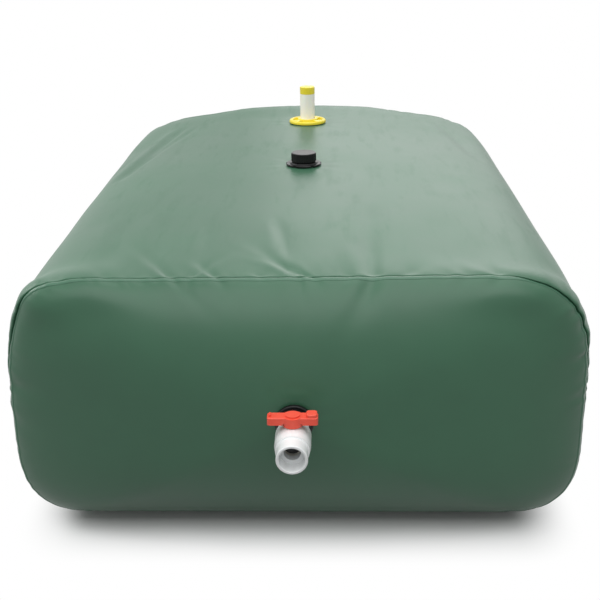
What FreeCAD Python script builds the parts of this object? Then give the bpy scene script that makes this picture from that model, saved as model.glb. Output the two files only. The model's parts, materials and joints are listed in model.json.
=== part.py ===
import FreeCAD, Part
import math
import os

os.makedirs("parts", exist_ok=True)
V = FreeCAD.Vector

# Collapsible water tank, filled and standing on the floor.
# Millimetres. X runs across the tank, Y along it with the outlet end at -Y, Z up.
# The origin is on the floor under the middle of the bag.

# The bag
bag_width = 1040.0
bag_seam_length = 1480.0
bag_crown_height = 484.0
bag_seam_height = 482.0
widest_height = 155.0
foot_inset = 135.0
foot_power = 2.8
shoulder_power = 5.2
end_draw = 21.0
end_lift = 30.0
end_bulge = 95.0
end_bulge_power = 0.66
end_draw_power = 8
end_lift_power = 8
outlet_land_share = 0.15
seam_lap_width = 14.0
seam_lap_thickness = 2.0
floor_press = 2.0
skin_thickness = 1.0
land_gap = 1.0

# Fits shared by all fittings
slip_gap = 0.2
turning_gap = 0.05
gasket_thickness = 2.0

# Front outlet fitting
outlet_height = 262.0
outlet_disc_radius = 32.0
outlet_disc_thickness = 6.0
outlet_hub_radius = 27.0
outlet_hub_length = 9.0
outlet_barrel_radius = 21.0
outlet_barrel_length = 22.0
outlet_nut_radius = 30.0
outlet_nut_thickness = 9.0
nipple_radius = 16.5
nipple_wall = 3.0
nipple_in_hub = 12.0
nipple_in_valve = 14.0

# Ball valve
valve_rear_gap = 2.0
socket_radius = 24.5
chamber_radius = 29.0
rear_socket_length = 18.0
passage_radius = 13.5
ball_radius = 20.0
ball_bore_radius = 13.0
chamber_wall = 5.0
seat_back = 2.5
seat_hold = 8.0
end_spigot_length = 7.0
end_socket_length = 27.0
end_collar_radius = 27.0
end_collar_length = 4.0
pipe_radius = 20.1
end_seal_section = 2.2
tower_radius = 13.0
tower_top = 36.0
stem_radius = 7.0
stem_collar_radius = 9.0
stem_foot_gap = 0.4
stem_seal_section = 1.8
stem_seal_count = 2
tang_width = 5.0
tang_length = 15.0
tang_depth = 5.0
square_side = 9.0
square_height = 7.0

# T handle
handle_length = 80.0
handle_width = 22.0
handle_thickness = 9.5
handle_wing_drop = 2.5
handle_corner_radius = 5.0
handle_edge_round = 1.5
handle_skirt_wall = 3.0
handle_skirt_drop = 6.2
handle_boss_radius = 11.7
handle_boss_height = 2.5
handle_block_length = 17.0
handle_block_rise = 5.0
handle_fin_thickness = 3.0
handle_fin_rise = 4.0
handle_rib_thickness = 2.0
handle_shell = 2.4
stop_width_deg = 14.0
quarter_turn_deg = 90.0
stop_margin_deg = 2.0

# Filler
filler_from_middle = 20.0
filler_disc_radius = 41.0
filler_disc_thickness = 3.5
filler_step_radius = 33.0
filler_step_height = 2.5
filler_lobes = 6
filler_lobe_radius = 4.5
filler_neck_radius = 23.0
filler_bore_radius = 18.0
filler_neck_height = 17.0
filler_barrel_length = 20.0
filler_nut_radius = 34.0
filler_nut_thickness = 9.0
cap_radius = 28.0
cap_top_thickness = 3.0
cap_floor_gap = 1.0
cap_seal_thickness = 1.5
cap_ribs = 36
cap_rib_radius = 0.9
cap_top_chamfer = 1.2

# Vent
vent_from_seam = 225.0
vent_disc_radius = 50.0
vent_disc_thickness = 3.0
vent_rim_radius = 5.0
vent_boss_radius = 28.0
vent_boss_height = 7.0
vent_webs = 4
vent_web_width = 12.0
vent_web_height = 5.0
vent_tube_radius = 20.0
vent_tube_wall = 2.5
vent_tube_height = 78.0
vent_barrel_length = 20.0
vent_barrel_wall = 3.0
vent_nut_thickness = 9.0
vent_nut_rim = 14.0
vent_cap_height = 19.0
vent_plug_length = 14.0
vent_cap_top = 3.0

# Sizes that follow
half_width = bag_width / 2
half_length = bag_seam_length / 2
filler_y = filler_from_middle
vent_y = half_length - vent_from_seam
chamber_bore_radius = chamber_radius - chamber_wall
chamber_length = 2 * (ball_radius + seat_back + end_spigot_length)


def cylinder(radius, height, at, along):
    return Part.makeCylinder(radius, height, at, along)


def ring(outer, inner, height, at, along):
    return cylinder(outer, height, at, along).cut(cylinder(inner, height, at, along))


def turned(outline, at, along):
    """Solid of revolution from (distance along the axis, radius) corners."""
    corners = [V(radius, 0, run) for run, radius in outline]
    face = Part.Face(Part.makePolygon(corners + corners[:1]))
    solid = face.revolve(V(0, 0, 0), V(0, 0, 1), 360)
    solid.Placement = FreeCAD.Placement(at, FreeCAD.Rotation(V(0, 0, 1), along))
    return solid


def seal_ring(middle_radius, section_radius, at, along, sides=10):
    """O-ring with a ten-sided section."""
    outline = []
    for k in range(sides):
        turn = 2 * math.pi * k / sides
        outline.append((section_radius * math.sin(turn), middle_radius + section_radius * math.cos(turn)))
    return turned(outline, at, along)


def nut(across_radius, bore_radius, thickness, at, along, notches=8):
    """Round backing nut with grip notches in its rim."""
    body = ring(across_radius, bore_radius, thickness, at, along)
    spin = FreeCAD.Rotation(V(0, 0, 1), along)
    notch_radius = across_radius / notches
    for k in range(notches):
        turn = 2 * math.pi * k / notches
        rim = V(math.cos(turn), math.sin(turn), 0) * (across_radius + notch_radius / 2)
        body = body.cut(cylinder(notch_radius, thickness, at + spin.multVec(rim), along))
    return body


# The bag
def section_size(along):
    """Half width, top and lifted bottom of the bag at one place along it."""
    share = abs(along) / half_length
    half = half_width - end_draw * share ** end_draw_power
    top = bag_crown_height - (bag_crown_height - bag_seam_height) * share ** 3
    bottom = end_lift * share ** end_lift_power
    return half, top, bottom


def section_corners(along, steps=9):
    """Right side of the section, from its foot on the floor up to the crown."""
    half, top, bottom = section_size(along)
    side = []
    for k in range(steps):
        turn = math.pi / 2 * k / steps
        x = half - foot_inset * (1 - math.sin(turn) ** (2 / foot_power))
        z = widest_height * (1 - math.cos(turn) ** (2 / foot_power))
        side.append((x, z))
    for k in range(steps + 1):
        turn = math.pi / 2 * k / steps
        x = half * max(math.cos(turn), 0.0) ** (2 / shoulder_power)
        z = widest_height + (top - widest_height) * math.sin(turn) ** (2 / shoulder_power)
        side.append((x, z))
    return [(x, bottom + z * (top - bottom) / top) for x, z in side]


def section_wire(along, y, inset=0.0, scale=1.0):
    """Closed section, drawn in by an inset and then scaled about its middle."""
    half, top, bottom = section_size(along)
    middle = (top + bottom) / 2
    across = (1 - inset / half) * scale
    upright = (1 - inset / (top - middle)) * scale
    side = [(x * across, middle + (z - middle) * upright) for x, z in section_corners(along)]
    points = [V(x, y, z) for x, z in side]
    points += [V(-x, y, z) for x, z in reversed(side[:-1])]
    curve = Part.BSplineCurve()
    curve.interpolate(points)
    return Part.Wire([curve.toShape(), Part.makeLine(points[-1], points[0])])


def bag_wrap():
    steps = 6
    shares = [math.sin(math.pi / 2 * k / steps) for k in range(-steps, steps + 1)]
    wires = [section_wire(share * half_length, share * half_length) for share in shares]
    return Part.makeLoft(wires, True, False)


def bag_end(side, wrap):
    """Lap seam and bulged end panel; side is -1 at the outlet end and 1 at the other."""
    seam = side * half_length
    wrap_edge = max(wrap.Faces, key=lambda face: side * face.CenterOfMass.y)
    lap = wrap_edge.extrude(V(0, side * seam_lap_thickness, 0))
    wires = [section_wire(seam, seam + side * seam_lap_thickness / 2, seam_lap_width)]
    for scale in (0.94, 0.84, 0.7, 0.54, 0.36, 0.18, 0.05):
        wires.append(section_wire(seam, seam + side * panel_bulge(scale), seam_lap_width, scale))
    return lap.fuse(Part.makeLoft(wires, True, False))


def panel_bulge(share):
    """How far an end panel stands out of its seam; share is 1 at the seam and 0 in the middle."""
    return seam_lap_thickness + end_bulge * (1 - share ** 2) ** end_bulge_power


def top_height(y):
    return section_size(y)[1] - floor_press


def tank_bladder():
    wrap = bag_wrap()
    bag = wrap.fuse([bag_end(-1, wrap), bag_end(1, wrap)]).removeSplitter()
    bag.translate(V(0, 0, -floor_press))
    reach = bag_width + bag_seam_length
    floor = Part.makeBox(2 * reach, 2 * reach, reach, V(-reach, -reach, -reach))
    return bag.cut(floor)


def land_and_well(bag, at, along, land_radius, barrel_radius, nut_radius, nut_thickness, barrel):
    """Flat land outside, hole through the skin, and room inside for the nut and barrel."""
    inward = along * -1
    bag = bag.cut(cylinder(land_radius + land_gap, end_bulge, at, along))
    bag = bag.cut(cylinder(barrel_radius + slip_gap, skin_thickness, at, inward))
    under_skin = at + inward * skin_thickness
    bag = bag.cut(cylinder(nut_radius + slip_gap, nut_thickness, under_skin, inward))
    below = at + inward * (skin_thickness + nut_thickness)
    return bag.cut(cylinder(barrel_radius + slip_gap, barrel - nut_thickness, below, inward))


# Front outlet: everything here is placed by its distance out from the bag's skin
OUT = V(0, -1, 0)
UP = V(0, 0, 1)
skin_face = V(0, -half_length - panel_bulge(outlet_land_share), outlet_height - floor_press)


def out_at(distance):
    return skin_face + OUT * distance


disc_back = gasket_thickness
disc_front = disc_back + outlet_disc_thickness
hub_front = disc_front + outlet_hub_length
valve_back = hub_front + valve_rear_gap
chamber_back = valve_back + rear_socket_length
ball_centre = chamber_back + chamber_length / 2
chamber_front = chamber_back + chamber_length
mouth = chamber_front + end_collar_length + end_socket_length
nipple_back = hub_front - nipple_in_hub
nipple_front = valve_back + nipple_in_valve
valve_origin = out_at(ball_centre)


def outlet_flange():
    inner_end = -outlet_barrel_length
    bore = nipple_radius + slip_gap
    outline = [(inner_end, bore - nipple_wall), (inner_end, outlet_barrel_radius),
               (disc_back, outlet_barrel_radius), (disc_back, outlet_disc_radius),
               (disc_front - 1, outlet_disc_radius), (disc_front, outlet_disc_radius - 1.5),
               (disc_front, outlet_hub_radius), (hub_front, outlet_hub_radius - 0.8),
               (hub_front, bore), (nipple_back, bore), (nipple_back, bore - nipple_wall)]
    return turned(outline, skin_face, OUT)


def outlet_gasket():
    return ring(outlet_disc_radius - 1, outlet_barrel_radius + slip_gap, gasket_thickness, skin_face, OUT)


def outlet_backing_nut():
    face = out_at(-skin_thickness - outlet_nut_thickness)
    return nut(outlet_nut_radius, outlet_barrel_radius + slip_gap, outlet_nut_thickness, face, OUT)


def outlet_nipple():
    length = nipple_front - nipple_back
    return ring(nipple_radius, nipple_radius - nipple_wall, length, out_at(nipple_back), OUT)


# Ball valve
def valve_body():
    socket_bore = nipple_radius + slip_gap
    step = ball_centre - ball_radius - seat_back
    shoulder = chamber_length * 0.2
    outline = [(valve_back, socket_bore), (valve_back, socket_radius - 1),
               (valve_back + 1, socket_radius), (chamber_back, socket_radius),
               (chamber_back + shoulder, chamber_radius), (chamber_front - shoulder, chamber_radius),
               (chamber_front, end_collar_radius), (chamber_front, chamber_bore_radius),
               (step, chamber_bore_radius), (step, passage_radius),
               (nipple_front, passage_radius), (nipple_front, socket_bore)]
    body = turned(outline, skin_face, OUT)
    tower = cylinder(tower_radius, tower_top, valve_origin, UP)
    room = cylinder(chamber_bore_radius, chamber_length, out_at(chamber_back), OUT)
    body = body.fuse(tower.cut(room))
    body = body.cut(cylinder(stem_radius + turning_gap, tower_top, valve_origin, UP))
    return body.fuse(stop_lug()).removeSplitter()


def stop_lug():
    """Lug on the stem tower that the handle's skirt comes up against."""
    reach = tower_radius + handle_skirt_wall
    low = tower_top - handle_skirt_drop + 1
    lug = Part.makeCylinder(reach, handle_skirt_drop - 2, valve_origin + UP * low, UP, stop_width_deg)
    lug.rotate(valve_origin, UP, 90 - stop_width_deg / 2)
    return lug.cut(cylinder(tower_radius - 1, tower_top, valve_origin, UP))


def valve_end_socket():
    back = chamber_front - end_spigot_length
    spigot = chamber_bore_radius - slip_gap
    groove = spigot - end_seal_section
    groove_back = chamber_front - end_spigot_length / 2 - end_seal_section / 2
    groove_front = groove_back + end_seal_section + slip_gap
    collar_front = chamber_front + end_collar_length
    outline = [(back, passage_radius), (back, spigot), (groove_back, spigot), (groove_back, groove),
               (groove_front, groove), (groove_front, spigot), (chamber_front, spigot),
               (chamber_front, end_collar_radius), (collar_front - 1, end_collar_radius),
               (collar_front, socket_radius + 0.4), (mouth - 1.5, socket_radius + 0.4),
               (mouth, socket_radius - 0.8), (mouth, pipe_radius + 1), (mouth - 1, pipe_radius),
               (mouth - end_socket_length + 2, pipe_radius), (mouth - end_socket_length + 2, passage_radius)]
    return turned(outline, skin_face, OUT)


def valve_end_seal():
    spigot = chamber_bore_radius - slip_gap
    at = out_at(chamber_front - end_spigot_length / 2 + slip_gap / 2)
    middle = spigot + slip_gap / 2 - end_seal_section / 2
    return seal_ring(middle, end_seal_section / 2 - turning_gap, at, OUT)


def valve_seat(side):
    """Ring with a hollow face that the ball lies in; side is -1 behind the ball, 1 in front."""
    length = seat_back + seat_hold
    start = ball_centre + side * (ball_radius - seat_hold)
    if side < 0:
        start -= length
    seat = ring(chamber_bore_radius - slip_gap, passage_radius, length, out_at(start), OUT)
    return seat.cut(Part.makeSphere(ball_radius + turning_gap, valve_origin))


def valve_ball():
    ball = Part.makeSphere(ball_radius, valve_origin)
    bore = cylinder(ball_bore_radius, 2 * ball_radius, valve_origin + V(-ball_radius, 0, 0), V(1, 0, 0))
    slot = Part.makeBox(tang_length + 2, tang_width + 2 * turning_gap, tang_depth,
                        valve_origin + V(-tang_length / 2 - 1, -tang_width / 2 - turning_gap,
                                         ball_radius - tang_depth))
    return ball.cut(bore).cut(slot)


def stem_seal_heights():
    low = chamber_radius
    pitch = 2 * stem_seal_section
    return [low + pitch * k for k in range(stem_seal_count)]


def valve_stem():
    tang_foot = ball_radius - tang_depth + slip_gap
    foot = ball_radius + stem_foot_gap
    collar_top = math.sqrt(chamber_bore_radius ** 2 - stem_collar_radius ** 2) - slip_gap
    collar = cylinder(stem_collar_radius, collar_top - foot, valve_origin + UP * foot, UP)
    rod = cylinder(stem_radius, tower_top - foot, valve_origin + UP * foot, UP)
    tang = Part.makeBox(tang_length - 1, tang_width, foot - tang_foot,
                        valve_origin + V(-(tang_length - 1) / 2, -tang_width / 2, tang_foot))
    square = Part.makeBox(square_side, square_side, square_height,
                          valve_origin + V(-square_side / 2, -square_side / 2, tower_top))
    stem = rod.fuse([collar, tang.common(cylinder(stem_radius, tower_top, valve_origin, UP)), square])
    for height in stem_seal_heights():
        at = valve_origin + UP * height
        stem = stem.cut(ring(stem_radius + 1, stem_radius - stem_seal_section,
                             stem_seal_section + slip_gap, at, UP))
    return stem.removeSplitter()


def valve_stem_seals():
    middle = stem_radius + turning_gap - stem_seal_section / 2
    rings = []
    for height in stem_seal_heights():
        at = valve_origin + UP * (height + (stem_seal_section + slip_gap) / 2)
        rings.append(seal_ring(middle, stem_seal_section / 2 - turning_gap / 2, at, UP))
    return Part.makeCompound(rings)


def rounded_block(length, width, height, corner_radius, edge_radius, at):
    """Block standing on a point, with rounded upright corners and a softened top."""
    block = Part.makeBox(length, width, height, at - V(length / 2, width / 2, 0))
    upright = [e for e in block.Edges if abs(e.tangentAt(e.FirstParameter).z) > 0.9]
    block = block.makeFillet(corner_radius, upright)
    top = [e for e in block.Edges if e.BoundBox.ZMin > at.z + height / 2]
    return block.makeFillet(edge_radius, top).Solids[0]


def handle_pocket(side):
    """Hollow under one wing, crossed by a stiffening rib; side is -1 left, 1 right."""
    near = tower_radius + turning_gap + handle_skirt_wall
    far = handle_length / 2 - handle_shell
    depth = handle_thickness + handle_wing_drop - handle_shell
    middle = side * (near + far) / 2
    width = handle_width - 2 * handle_shell
    pocket = Part.makeBox(far - near, width, depth, V(middle - (far - near) / 2, -width / 2, -handle_wing_drop))
    rib = Part.makeBox(handle_rib_thickness, width, depth,
                       V(middle - handle_rib_thickness / 2, -width / 2, -handle_wing_drop))
    return pocket.cut(rib)


def handle_skirt():
    """Skirt round the stem tower, with a window as wide as the quarter turn and its stop."""
    inner = tower_radius + turning_gap
    foot = V(0, 0, -handle_skirt_drop)
    skirt = ring(inner + handle_skirt_wall, inner, handle_skirt_drop, foot, UP)
    sweep = quarter_turn_deg + stop_width_deg + 2 * stop_margin_deg
    window = Part.makeCylinder(inner + 2 * handle_skirt_wall, handle_skirt_drop, foot, UP, sweep)
    window.rotate(V(0, 0, 0), UP, 90 - quarter_turn_deg - stop_width_deg / 2 - stop_margin_deg)
    return skirt.cut(window)


def handle_top():
    """Round boss in the middle, finger block at the right end and thin lip at the left."""
    inset = handle_edge_round
    width = handle_width - 2 * inset
    block_at = V(handle_length / 2 - inset - handle_block_length / 2, 0, handle_thickness)
    fin_at = V(-handle_length / 2 + inset + handle_fin_thickness, 0, handle_thickness)
    block = rounded_block(handle_block_length, width, handle_block_rise, handle_corner_radius,
                          handle_edge_round, block_at)
    fin = rounded_block(handle_fin_thickness, width - 2 * handle_corner_radius, handle_fin_rise,
                        handle_fin_thickness / 3, handle_fin_thickness / 4, fin_at)
    return [cylinder(handle_boss_radius, handle_boss_height, V(0, 0, handle_thickness), UP), block, fin]


def valve_handle():
    inner = tower_radius + turning_gap
    drop = V(0, 0, -handle_wing_drop)
    bar = rounded_block(handle_length, handle_width, handle_thickness + handle_wing_drop,
                        handle_corner_radius, handle_edge_round, drop)
    hub = cylinder(inner + handle_skirt_wall, handle_thickness, V(0, 0, 0), UP)
    handle = bar.cut(cylinder(inner + 2 * handle_skirt_wall, handle_wing_drop, drop, UP))
    handle = handle.fuse([hub, handle_skirt()] + handle_top())
    for wing in (-1, 1):
        handle = handle.cut(handle_pocket(wing))
    side = square_side + 2 * turning_gap
    socket = Part.makeBox(side, side, square_height + 2 * slip_gap, V(-side / 2, -side / 2, -slip_gap))
    handle = handle.cut(socket).Solids[0]
    handle.translate(valve_origin + UP * (tower_top + slip_gap))
    return handle


# Filler: placed by height above the skin
filler_seat = V(0, filler_y, top_height(filler_y + filler_disc_radius) - land_gap / 2)


def filler_neck():
    top = gasket_thickness + filler_disc_thickness
    step_top = top + filler_step_height
    outline = [(-filler_barrel_length, filler_bore_radius), (-filler_barrel_length, filler_neck_radius),
               (gasket_thickness, filler_neck_radius), (gasket_thickness, filler_disc_radius),
               (top - 1, filler_disc_radius), (top, filler_disc_radius - 1), (top, filler_step_radius),
               (step_top, filler_step_radius - 1), (step_top, filler_neck_radius),
               (step_top + filler_neck_height, filler_neck_radius),
               (step_top + filler_neck_height, filler_bore_radius)]
    neck = turned(outline, filler_seat, UP)
    for k in range(filler_lobes):
        turn = math.pi / 2 + 2 * math.pi * (k + 0.5) / filler_lobes
        rim = V(math.cos(turn), math.sin(turn), 0) * (filler_disc_radius + filler_lobe_radius * 0.3)
        neck = neck.cut(cylinder(filler_lobe_radius, top, filler_seat + rim, UP))
    return neck


def filler_gasket():
    inner = filler_neck_radius + slip_gap
    return ring(filler_step_radius, inner, gasket_thickness, filler_seat, UP)


def filler_backing_nut():
    face = filler_seat - UP * (skin_thickness + filler_nut_thickness)
    return nut(filler_nut_radius, filler_neck_radius + slip_gap, filler_nut_thickness, face, UP)


neck_top = gasket_thickness + filler_disc_thickness + filler_step_height + filler_neck_height


def filler_cap_seal():
    return ring(filler_neck_radius - 0.5, filler_bore_radius, cap_seal_thickness,
                filler_seat + UP * neck_top, UP)


def filler_cap():
    under = neck_top + cap_seal_thickness
    top = under + cap_top_thickness
    foot = neck_top - filler_neck_height + cap_floor_gap
    inner = filler_neck_radius + slip_gap
    outline = [(foot, inner), (foot, cap_radius - 1), (foot + 1, cap_radius),
               (top - cap_top_chamfer, cap_radius), (top, cap_radius - cap_top_chamfer), (top, 0),
               (under, 0), (under, inner)]
    cap = turned(outline, filler_seat, UP)
    ribs = []
    for k in range(cap_ribs):
        turn = 2 * math.pi * k / cap_ribs
        rim = V(math.cos(turn), math.sin(turn), 0) * cap_radius
        ribs.append(cylinder(cap_rib_radius, top - foot - 2 * cap_top_chamfer - 1,
                             filler_seat + rim + UP * (foot + 1.5), UP))
    return cap.fuse(ribs).removeSplitter()


# Vent: placed by height above the skin
vent_seat = V(0, vent_y, top_height(vent_y + vent_disc_radius) - land_gap / 2)
vent_base = gasket_thickness + vent_disc_thickness
vent_barrel_radius = vent_tube_radius + vent_barrel_wall


def vent_flange():
    bore = vent_tube_radius + slip_gap
    outline = [(-vent_barrel_length, bore - vent_tube_wall), (-vent_barrel_length, vent_barrel_radius),
               (gasket_thickness, vent_barrel_radius), (gasket_thickness, vent_disc_radius),
               (vent_base, vent_disc_radius), (vent_base, vent_boss_radius),
               (vent_base + vent_boss_height - 1, vent_boss_radius - 1),
               (vent_base + vent_boss_height, vent_boss_radius - 2), (vent_base + vent_boss_height, bore),
               (gasket_thickness, bore), (gasket_thickness, bore - vent_tube_wall)]
    flange = turned(outline, vent_seat, UP)
    rim = Part.makeTorus(vent_disc_radius - vent_rim_radius, vent_rim_radius, vent_seat + UP * vent_base, UP)
    above = cylinder(vent_disc_radius + 1, 2 * vent_rim_radius, vent_seat + UP * (vent_base - 1), UP)
    pieces = [rim.common(above)]
    reach = vent_disc_radius - vent_rim_radius - vent_boss_radius
    for k in range(vent_webs):
        web = Part.makeBox(reach + 1, vent_web_width, vent_web_height,
                           vent_seat + V(vent_boss_radius - 1, -vent_web_width / 2, vent_base))
        web.rotate(vent_seat, UP, 45 + 360.0 * k / vent_webs)
        pieces.append(web)
    return flange.fuse(pieces).removeSplitter()


def vent_gasket():
    inner = vent_barrel_radius + slip_gap
    return ring(vent_disc_radius - 2, inner, gasket_thickness, vent_seat, UP)


def vent_backing_nut():
    face = vent_seat - UP * (skin_thickness + vent_nut_thickness)
    return nut(vent_barrel_radius + vent_nut_rim, vent_barrel_radius + slip_gap, vent_nut_thickness, face, UP)


def vent_tube():
    return ring(vent_tube_radius, vent_tube_radius - vent_tube_wall, vent_tube_height,
                vent_seat + UP * gasket_thickness, UP)


def vent_cap():
    tube_top = gasket_thickness + vent_tube_height
    plug = vent_tube_radius - vent_tube_wall - slip_gap
    rim = vent_tube_radius + 0.3
    cap_top = tube_top + vent_cap_height
    outline = [(tube_top - vent_plug_length, plug - 2), (tube_top - vent_plug_length, plug),
               (tube_top, plug), (tube_top, rim), (cap_top - 1.5, rim), (cap_top, rim - 1.5),
               (cap_top, 0), (cap_top - vent_cap_top, 0), (cap_top - vent_cap_top, plug - 2)]
    return turned(outline, vent_seat, UP)


def build():
    bag = tank_bladder()
    bag = land_and_well(bag, skin_face, OUT, outlet_disc_radius, outlet_barrel_radius,
                        outlet_nut_radius, outlet_nut_thickness, outlet_barrel_length)
    bag = land_and_well(bag, filler_seat, UP, filler_disc_radius, filler_neck_radius,
                        filler_nut_radius, filler_nut_thickness, filler_barrel_length)
    bag = land_and_well(bag, vent_seat, UP, vent_disc_radius, vent_barrel_radius,
                        vent_barrel_radius + vent_nut_rim, vent_nut_thickness, vent_barrel_length)
    return {
        "tank_bladder": bag,
        "outlet_flange": outlet_flange(),
        "outlet_gasket": outlet_gasket(),
        "outlet_backing_nut": outlet_backing_nut(),
        "outlet_nipple": outlet_nipple(),
        "valve_body": valve_body(),
        "valve_end_socket": valve_end_socket(),
        "valve_end_seal": valve_end_seal(),
        "valve_rear_seat": valve_seat(-1),
        "valve_front_seat": valve_seat(1),
        "valve_ball": valve_ball(),
        "valve_stem": valve_stem(),
        "valve_stem_seals": valve_stem_seals(),
        "valve_handle": valve_handle(),
        "filler_neck": filler_neck(),
        "filler_gasket": filler_gasket(),
        "filler_backing_nut": filler_backing_nut(),
        "filler_cap_seal": filler_cap_seal(),
        "filler_cap": filler_cap(),
        "vent_flange": vent_flange(),
        "vent_gasket": vent_gasket(),
        "vent_backing_nut": vent_backing_nut(),
        "vent_tube": vent_tube(),
        "vent_cap": vent_cap(),
    }


for name, shape in build().items():
    box = shape.BoundBox
    print(name, len(shape.Solids), shape.isValid(), round(shape.Volume / 1000, 1),
          [round(v, 1) for v in (box.XMin, box.XMax, box.YMin, box.YMax, box.ZMin, box.ZMax)])
    shape.exportStep("parts/" + name + ".step")
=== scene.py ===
import json
import math

import bpy
import numpy as np
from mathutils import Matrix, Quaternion, Vector


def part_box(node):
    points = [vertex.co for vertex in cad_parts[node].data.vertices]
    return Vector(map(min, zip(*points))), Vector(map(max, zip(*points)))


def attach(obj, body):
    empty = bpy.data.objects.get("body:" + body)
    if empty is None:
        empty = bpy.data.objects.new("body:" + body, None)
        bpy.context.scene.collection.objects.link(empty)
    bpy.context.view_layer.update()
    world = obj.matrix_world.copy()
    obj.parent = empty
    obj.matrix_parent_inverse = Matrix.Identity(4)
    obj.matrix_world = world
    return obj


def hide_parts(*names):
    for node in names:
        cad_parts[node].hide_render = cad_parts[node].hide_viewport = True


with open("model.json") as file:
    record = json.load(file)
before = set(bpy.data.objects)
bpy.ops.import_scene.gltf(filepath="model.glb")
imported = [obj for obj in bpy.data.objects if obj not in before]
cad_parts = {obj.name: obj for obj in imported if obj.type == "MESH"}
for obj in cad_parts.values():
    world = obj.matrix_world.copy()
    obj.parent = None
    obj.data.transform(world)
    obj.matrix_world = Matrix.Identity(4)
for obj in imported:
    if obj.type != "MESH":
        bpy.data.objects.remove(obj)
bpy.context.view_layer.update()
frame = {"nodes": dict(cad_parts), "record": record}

nodes = frame["nodes"]

# Everything is in metres. X runs across the tank, the outlet is at -Y, Z is up from the floor.
# A pair of numbers whose name ends in RISE or FALL is where a smooth step starts and where it ends.
# A side is -1 at the outlet end of the bag and 1 at the vent end.

# The bag's form
BAG_HALF_WIDTH = 0.520
SEAM_Y = 0.740
CROWN_Z = 0.484
SEAM_Z = 0.482
WIDEST_Z = 0.155
FOOT_INSET = 0.135
FOOT_POWER = 2.8
SHOULDER_POWER = 5.2
END_DRAW = 0.021
END_LIFT = 0.030
END_POWER = 8
CROWN_POWER = 3
PANEL_BULGE = 0.097
PANEL_BULGE_POWER = 0.66

# How the bag meets the floor
FLOOR_PRESS = 0.002
FLOOR_SKIN = 0.0003
WRAP_FLOOR_RISE = (0.004, 0.05)
PANEL_FLOOR_RISE = (0.0, 0.03)

# Share of the panel's bulge that counts as distance from the seam, and the least such distance
BULGE_SHARE = 0.8
PANEL_SIDE = 1e-6

# Mesh spacing on the skin
COLUMN_SPACING = 0.0046
BOTTOM_COLUMNS = 20
ROW_SPACING = 0.0095
FIRST_ROW = 0.0009
ROW_GROWTH = 1.27
PANEL_ROWS = 76
PANEL_ROW_POWER = 1.9
PANEL_TIP_SCALE = 0.006
CURVE_SAMPLES = 6001

# The seam draws both skins in, on a stretch each side of it
PINCH_DEPTH = 0.0035
PINCH_REACH = 0.045
PINCH_POWER = 1.3
GROOVE_DEPTH = 0.0024
GROOVE_REACH = 0.0026
SEAM_TILT = 0.55
SHARED_REACH = 0.030

# A deep crease where the seam turns its upper corners, from a run along it on the left and the right
CREASE_DEPTH = 0.010
CREASE_REACH = 0.016
CREASE_STARTS = {-1: (-0.41, 0.335), 1: (-0.38, 0.38)}
CREASE_SHARES = {-1: 1.0, 1: 0.45}
CORNER_FADE = 0.07
CORNER_END = 0.62
CORNER_END_FADE = 0.16

# The wrap rolls out past the seam beside it, most of all at the corners
LIP_REACH = 0.012
LIP = 0.0035
CORNER_LIP = 0.011

# Corners that stand out squarer than the section: run, height and width
SQUARE_CORNERS = {
    -1: ((-0.450, 0.014, 0.045), (-0.385, 0.017, 0.080), (0.405, 0.020, 0.075), (0.500, 0.008, 0.070),
         (0.300, 0.006, 0.130)),
    1: ((-0.450, 0.003, 0.080), (0.450, 0.003, 0.080)),
}
CORNER_WRAP_REACH = 0.075
CORNER_PANEL_REACH = 0.05

# Welded strip: each point of its section as a share of its width and of its thickness
LAP_WIDTH = 0.0125
LAP_THICKNESS = 0.0011
LAP_PROFILE = ((0.0, -1.467), (0.032, -0.133), (0.08, 0.533), (0.16, 0.933), (0.32, 1.0), (0.56, 0.933),
               (0.76, 0.933), (0.896, 0.733), (0.96, 0.267), (1.0, -0.533))
LAP_TUCK = 0.0012
LAP_FLOOR_SHARE = 0.7
LAP_SAMPLES = 900
LAP_SAMPLED_SHARE = 0.12

# One pucker is a valley with a low bank each side, which widens and fades away from the seam. The stiff
# seam itself takes only a share of its depth, and on the panel it leans the other way.
SEAM_SHARE = 0.4
STIFF_REACH = 0.016
BANK_SHARE = 0.45
BANK_WIDTH = 1.9
PUCKER_EDGE = 3.2
PUCKER_SPREAD = 1.2
PUCKER_SPREAD_START = 0.01
PUCKER_FADE_POWER = 1.5
PANEL_LEAN = -0.5

# Scattered puckers lie between these shares of the depth, width, reach and spacing that are asked for
DEPTH_SHARES = (0.35, 1.25)
WIDTH_SHARES = (0.6, 1.5)
REACH_SHARES = (0.35, 1.75)
SPACING_SHARES = (0.45, 1.55)
VALLEY_SHARE = 0.72
RIDGE_HEIGHT = 0.6
LEAN_RANGE = (-0.45, 0.45)
SKEW_RANGE = (-0.8, 0.8)

# Puckers of the outlet end as the photograph shows them: run, depth, width, reach, lean and skew
SHOWN_PUCKERS = (
    (-0.392, 0.0045, 0.012, 0.045, -0.6, 0.9), (-0.313, 0.0024, 0.010, 0.045, -0.4, 0.6),
    (-0.205, 0.0042, 0.009, 0.110, -0.5, 0.9), (-0.172, 0.0036, 0.0075, 0.080, 0.5, -0.6),
    (-0.130, 0.0045, 0.0075, 0.055, -0.5, 0.8), (-0.058, 0.0027, 0.012, 0.035, 0.3, 0.4),
    (0.002, 0.0039, 0.0085, 0.110, -0.5, 0.7), (0.026, 0.0048, 0.008, 0.055, -1.0, 0.9),
    (0.095, 0.0030, 0.012, 0.035, 0.2, -0.5), (0.122, 0.0054, 0.015, 0.190, -0.05, 1.2),
    (0.179, 0.0030, 0.010, 0.035, 0.4, 0.5), (0.281, 0.0027, 0.010, 0.045, -0.3, 0.6),
    (0.334, 0.0051, 0.015, 0.050, -0.5, 1.0),
)
SHOWN_PANEL_SHARE = 0.26

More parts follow.
